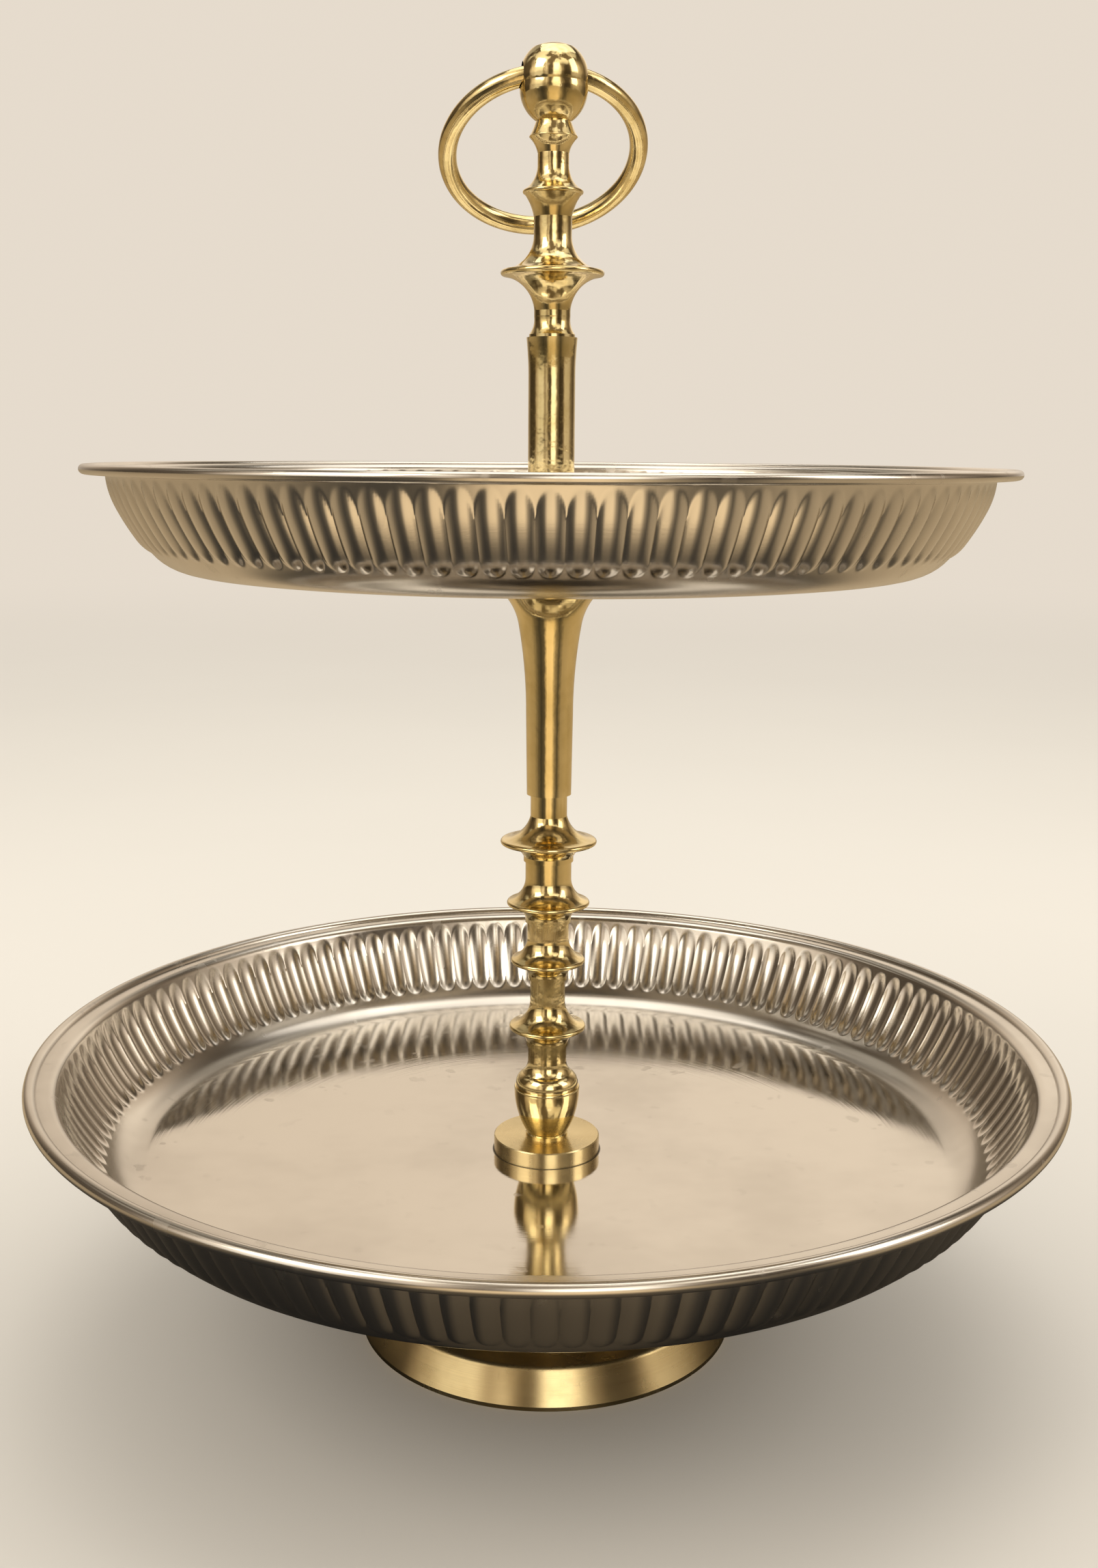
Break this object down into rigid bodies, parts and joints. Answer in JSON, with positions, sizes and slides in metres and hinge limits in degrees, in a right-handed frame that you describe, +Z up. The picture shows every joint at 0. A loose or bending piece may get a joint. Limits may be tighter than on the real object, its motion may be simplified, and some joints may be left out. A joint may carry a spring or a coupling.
{
  "type": "tiered serving stand",
  "caption": "Tiered serving stand: round fluted steel trays on a turned brass column and spun foot, with a hinged ring handle on top.",
  "frame": {"origin": "centre of the foot's base, on the surface it stands on", "axes": "+Z up the column; +X to the right and -Y to the front as it is usually seen"},
  "size_m": [0.3, 0.3, 0.3664],
  "materials": {
    "polished_brass": "turned and polished",
    "satin_brass": "satin, turned in rings",
    "polished_steel": "pressed, fluted and polished",
    "plain_steel": "zinc plated"
  },
  "bodies": {
    "stand": {"foot": "satin_brass", "flange_disc": "satin_brass", "tapered_socket": "polished_brass", "knop_spindle": "polished_brass", "trumpet_support": "polished_brass", "upper_tube": "polished_brass", "finial": "polished_brass", "lower_tray": "polished_steel", "upper_tray": "polished_steel", "lower_stud": "plain_steel", "upper_stud": "plain_steel", "base_washer": "plain_steel", "base_nut": "plain_steel"},
    "ring": {"ring_handle": "polished_brass"}
  },
  "joints": [
    {"name": "ring_swing", "type": "hinge", "parent": "stand", "child": "ring", "pos_m": [0, 0, 0.358], "axis": [0.9903, 0.1392, 0], "range_deg": [-32, 288]}
  ]
}
